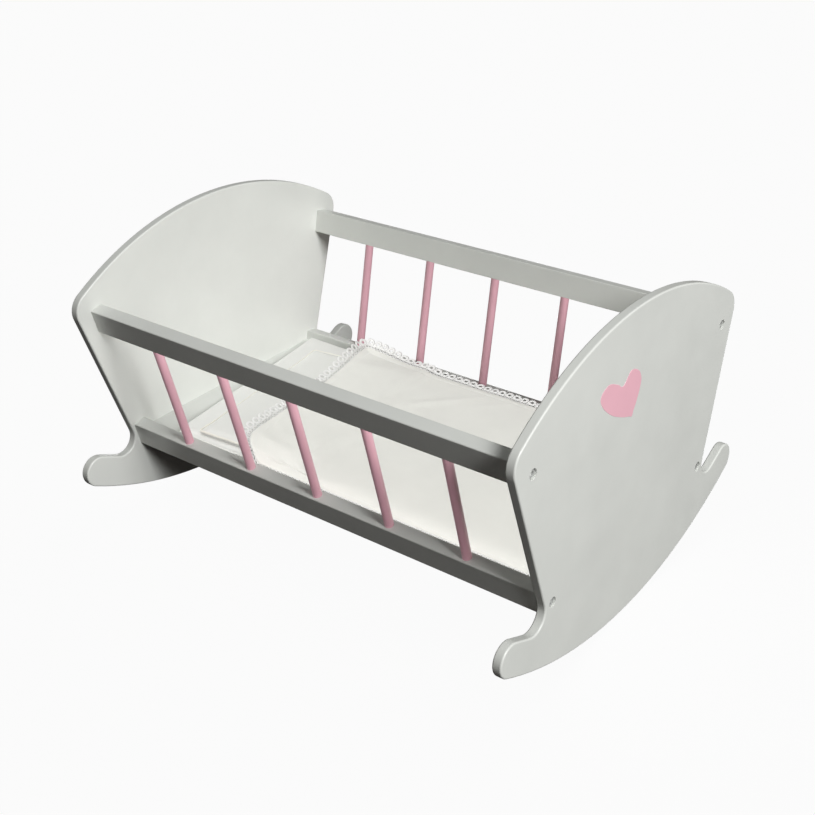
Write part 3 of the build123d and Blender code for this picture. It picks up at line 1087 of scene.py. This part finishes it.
# the background as the camera sees it, and a dim dome that lights the cradle
world = bpy.data.worlds.new("studio")
scene.world = world
world.use_nodes = True
tree = world.node_tree
tree.nodes.clear()
output = tree.nodes.new("ShaderNodeOutputWorld")
mix = tree.nodes.new("ShaderNodeMixShader")
paths = tree.nodes.new("ShaderNodeLightPath")
seen = tree.nodes.new("ShaderNodeBackground")
seen.inputs["Color"].default_value = (*BACKDROP, 1.0)
dome = tree.nodes.new("ShaderNodeBackground")
coords = tree.nodes.new("ShaderNodeTexCoord")
split = tree.nodes.new("ShaderNodeSeparateXYZ")
sky = tree.nodes.new("ShaderNodeValToRGB")
height = tree.nodes.new("ShaderNodeMapRange")
height.inputs["From Min"].default_value = -1.0
tree.links.new(coords.outputs["Generated"], split.inputs["Vector"])
tree.links.new(split.outputs["Z"], height.inputs["Value"])
tree.links.new(height.outputs["Result"], sky.inputs["Fac"])
sky.color_ramp.elements[0].position = 0.42
sky.color_ramp.elements[0].color = (*DOME_LOW, 1.0)
sky.color_ramp.elements[1].position = 0.75
sky.color_ramp.elements[1].color = (*DOME_HIGH, 1.0)
tree.links.new(sky.outputs["Color"], dome.inputs["Color"])
tree.links.new(paths.outputs["Is Camera Ray"], mix.inputs["Fac"])
tree.links.new(dome.outputs["Background"], mix.inputs[1])
tree.links.new(seen.outputs["Background"], mix.inputs[2])
tree.links.new(mix.outputs["Shader"], output.inputs["Surface"])

BEDDING = [
    mattress_pad, mattress_seam, pillow_pad, pillow_seam, duvet_piece, hem_stitches, crochet,
]
FRONT_SPINDLES, BACK_SPINDLES = nodes_named("front_spindle"), nodes_named("back_spindle")
HEAD_PANEL = [NODES["head_panel"]]
LIT_APART = FRONT_SPINDLES + BACK_SPINDLES + HEAD_PANEL
ALL_NODES = list(NODES.values())
SPINDLE_BLOCKERS = FRONT_SPINDLES + BACK_SPINDLES + [NODES["foot_panel"]]
KEY_WAY = (0.79, -0.205, 0.57)

# the frame and the heart, then the head panel, partly without the front top rail's shadow
key = softbox("key", KEY_WAY, 1.4, 168.0)
link_lamp(key, [shown for shown in ALL_NODES if shown not in LIT_APART] + [heart])
over_head_panel = softbox("over_head_panel", KEY_WAY, 1.4, 72.0)
link_lamp(over_head_panel, HEAD_PANEL)
inside_head_panel = softbox("inside_head_panel", KEY_WAY, 1.4, 98.0)
link_lamp(
    inside_head_panel, HEAD_PANEL,
    [shown for name, shown in NODES.items() if name != "front_top_rail"],
)

# the bedding, in its own light and shadow
over_bed = softbox("over_bed", (0.30, -0.35, 0.88), 4.0, 134.0)
link_lamp(over_bed, BEDDING, BEDDING)
bed_fill = softbox("bed_fill", (0.10, -0.90, 0.35), 3.0, 55.0)
link_lamp(bed_fill, BEDDING, BEDDING)

# the spindles
front_lamp = softbox("over_front_spindles", (0.80, -0.17, 0.48), 1.6, 178.0)
link_lamp(front_lamp, FRONT_SPINDLES, SPINDLE_BLOCKERS)
front_fill = softbox("front_fill", (-0.10, -0.90, 0.35), 3.0, 43.0)
link_lamp(front_fill, FRONT_SPINDLES)
back_lamp = softbox("over_back_spindles", (0.76, -0.21, 0.62), 1.6, 138.0)
link_lamp(back_lamp, BACK_SPINDLES, SPINDLE_BLOCKERS)

# the far side, from behind and below
behind = softbox("behind", (-0.62, 0.74, -0.25), 1.2, 110.0)
link_lamp(behind, nodes_named("head_panel", "back_"), ALL_NODES)

# the floor: nearly the background's tone to the camera, a dim pale surface to the cradle
FLOOR_REACH = 12.0
FLOOR_DROP = 0.0002         # just under the rockers
FLOOR_GLOW, FLOOR_MATT = (0.955, 0.955, 0.955), (0.06, 0.06, 0.06)
FLOOR_BOUNCE = (0.10, 0.092, 0.088)
floor_mesh = bpy.data.meshes.new("floor")
floor_mesh.from_pydata(
    [(x * FLOOR_REACH, y * FLOOR_REACH, 0) for x, y in ((-1, -1), (1, -1), (1, 1), (-1, 1))],
    [],
    [(0, 1, 2, 3)],
)
floor = bpy.data.objects.new("floor", floor_mesh)
floor.location.z = cad_box[0][2] - FLOOR_DROP
scene.collection.objects.link(floor)
pale = bpy.data.materials.new("pale_floor")
pale.use_nodes = True
tree = pale.node_tree
tree.nodes.clear()
output = tree.nodes.new("ShaderNodeOutputMaterial")
mix = tree.nodes.new("ShaderNodeMixShader")
together = tree.nodes.new("ShaderNodeAddShader")
paths = tree.nodes.new("ShaderNodeLightPath")
glow = tree.nodes.new("ShaderNodeEmission")
glow.inputs["Color"].default_value = (*FLOOR_GLOW, 1.0)
matt = tree.nodes.new("ShaderNodeBsdfDiffuse")
matt.inputs["Color"].default_value = (*FLOOR_MATT, 1.0)
unseen = tree.nodes.new("ShaderNodeBsdfDiffuse")
unseen.inputs["Color"].default_value = (*FLOOR_BOUNCE, 1.0)
tree.links.new(glow.outputs["Emission"], together.inputs[0])
tree.links.new(matt.outputs["BSDF"], together.inputs[1])
tree.links.new(paths.outputs["Is Camera Ray"], mix.inputs["Fac"])
tree.links.new(unseen.outputs["BSDF"], mix.inputs[1])
tree.links.new(together.outputs["Shader"], mix.inputs[2])
tree.links.new(mix.outputs["Shader"], output.inputs["Surface"])
floor_mesh.materials.append(pale)

scene.view_settings.view_transform = "Standard"
scene.view_settings.look = "None"
